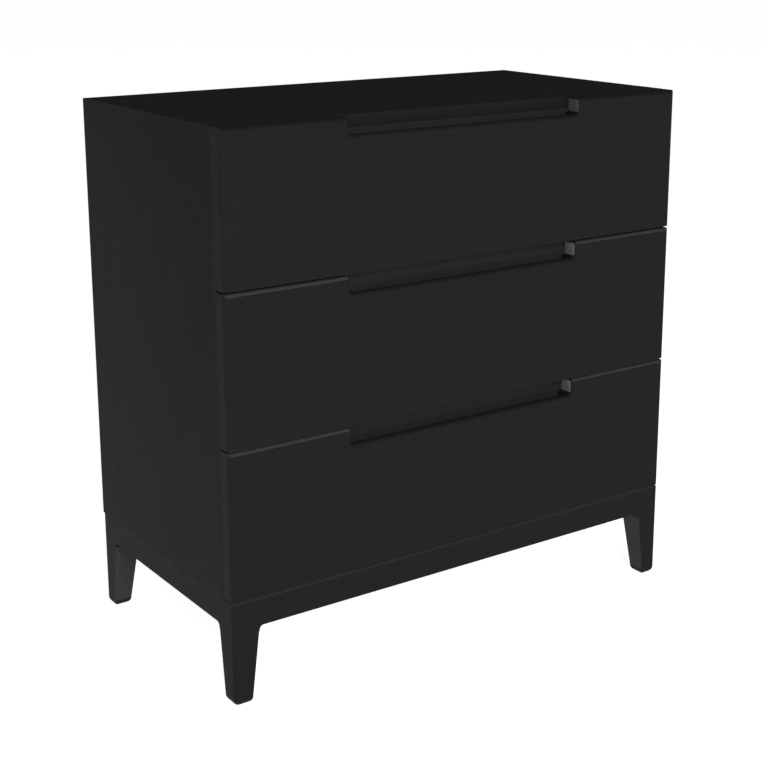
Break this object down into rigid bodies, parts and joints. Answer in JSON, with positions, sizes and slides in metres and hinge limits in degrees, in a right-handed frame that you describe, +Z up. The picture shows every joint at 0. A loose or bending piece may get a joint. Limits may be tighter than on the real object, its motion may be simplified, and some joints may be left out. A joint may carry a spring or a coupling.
{
  "type": "chest of drawers",
  "caption": "Low black-stained chest of drawers with full-width overlay fronts, cut-out finger pulls in their upper edges and a flush base frame on tapered legs.",
  "frame": {"origin": "on the floor under the middle of the chest", "axes": "+X to the right as seen from the front, +Y to the rear (drawers open towards -Y), +Z up"},
  "size_m": [0.8, 0.422, 0.809],
  "materials": {
    "stained_veneer": "black-stained open-grain oak veneer, satin lacquer",
    "stained_solid_wood": "black-stained solid oak, satin lacquer",
    "drawer_plywood": "clear-lacquered birch plywood",
    "back_board": "black-faced hardboard",
    "block_wood": "raw beech",
    "slide_steel": "zinc-plated pressed steel",
    "screw_steel": "zinc-plated",
    "glide_plastic": "moulded black plastic"
  },
  "bodies": {
    "cabinet": {"top_panel": "stained_veneer", "left_side_panel": "stained_veneer", "right_side_panel": "stained_veneer", "bottom_panel": "stained_veneer", "back_panel": "back_board", "top_front_rail": "stained_veneer", "upper_divider_rail": "stained_veneer", "lower_divider_rail": "stained_veneer", "front_apron": "stained_solid_wood", "rear_apron": "stained_solid_wood", "left_apron": "stained_solid_wood", "right_apron": "stained_solid_wood", "front_left_leg": "stained_solid_wood", "front_right_leg": "stained_solid_wood", "rear_left_leg": "stained_solid_wood", "rear_right_leg": "stained_solid_wood", "corner_blocks": "block_wood", "corner_block_screws": "screw_steel", "base_frame_screws": "screw_steel", "foot_glides": "glide_plastic", "carcass_dowels": "block_wood", "back_panel_screws": "screw_steel", "cabinet_member_screws": "screw_steel", "bottom_left_cabinet_member": "slide_steel", "bottom_right_cabinet_member": "slide_steel", "middle_left_cabinet_member": "slide_steel", "middle_right_cabinet_member": "slide_steel", "top_left_cabinet_member": "slide_steel", "top_right_cabinet_member": "slide_steel"},
    "bottom_drawer": {"bottom_front": "stained_veneer", "bottom_box_front": "drawer_plywood", "bottom_box_left": "drawer_plywood", "bottom_box_right": "drawer_plywood", "bottom_box_back": "drawer_plywood", "bottom_box_bottom": "drawer_plywood", "bottom_front_screws": "screw_steel", "bottom_left_drawer_member": "slide_steel", "bottom_right_drawer_member": "slide_steel"},
    "bottom_middles": {"bottom_middle_members": "slide_steel"},
    "middle_drawer": {"middle_front": "stained_veneer", "middle_box_front": "drawer_plywood", "middle_box_left": "drawer_plywood", "middle_box_right": "drawer_plywood", "middle_box_back": "drawer_plywood", "middle_box_bottom": "drawer_plywood", "middle_front_screws": "screw_steel", "middle_left_drawer_member": "slide_steel", "middle_right_drawer_member": "slide_steel"},
    "middle_middles": {"middle_middle_members": "slide_steel"},
    "top_drawer": {"top_front": "stained_veneer", "top_box_front": "drawer_plywood", "top_box_left": "drawer_plywood", "top_box_right": "drawer_plywood", "top_box_back": "drawer_plywood", "top_box_bottom": "drawer_plywood", "top_front_screws": "screw_steel", "top_left_drawer_member": "slide_steel", "top_right_drawer_member": "slide_steel"},
    "top_middles": {"top_middle_members": "slide_steel"}
  },
  "joints": [
    {"name": "bottom_drawer_slide", "type": "slide", "parent": "cabinet", "child": "bottom_drawer", "axis": [0, -1, 0], "range_m": [0, 0.34]},
    {"name": "bottom_middle_slide", "type": "slide", "parent": "cabinet", "child": "bottom_middles", "axis": [0, -1, 0], "range_m": [0, 0.17]},
    {"name": "middle_drawer_slide", "type": "slide", "parent": "cabinet", "child": "middle_drawer", "axis": [0, -1, 0], "range_m": [0, 0.34]},
    {"name": "middle_middle_slide", "type": "slide", "parent": "cabinet", "child": "middle_middles", "axis": [0, -1, 0], "range_m": [0, 0.17]},
    {"name": "top_drawer_slide", "type": "slide", "parent": "cabinet", "child": "top_drawer", "axis": [0, -1, 0], "range_m": [0, 0.34]},
    {"name": "top_middle_slide", "type": "slide", "parent": "cabinet", "child": "top_middles", "axis": [0, -1, 0], "range_m": [0, 0.17]}
  ],
  "couplings": [
    {"joint": "bottom_middle_slide", "follows": "bottom_drawer_slide", "ratio": 0.5},
    {"joint": "middle_middle_slide", "follows": "middle_drawer_slide", "ratio": 0.5},
    {"joint": "top_middle_slide", "follows": "top_drawer_slide", "ratio": 0.5}
  ]
}
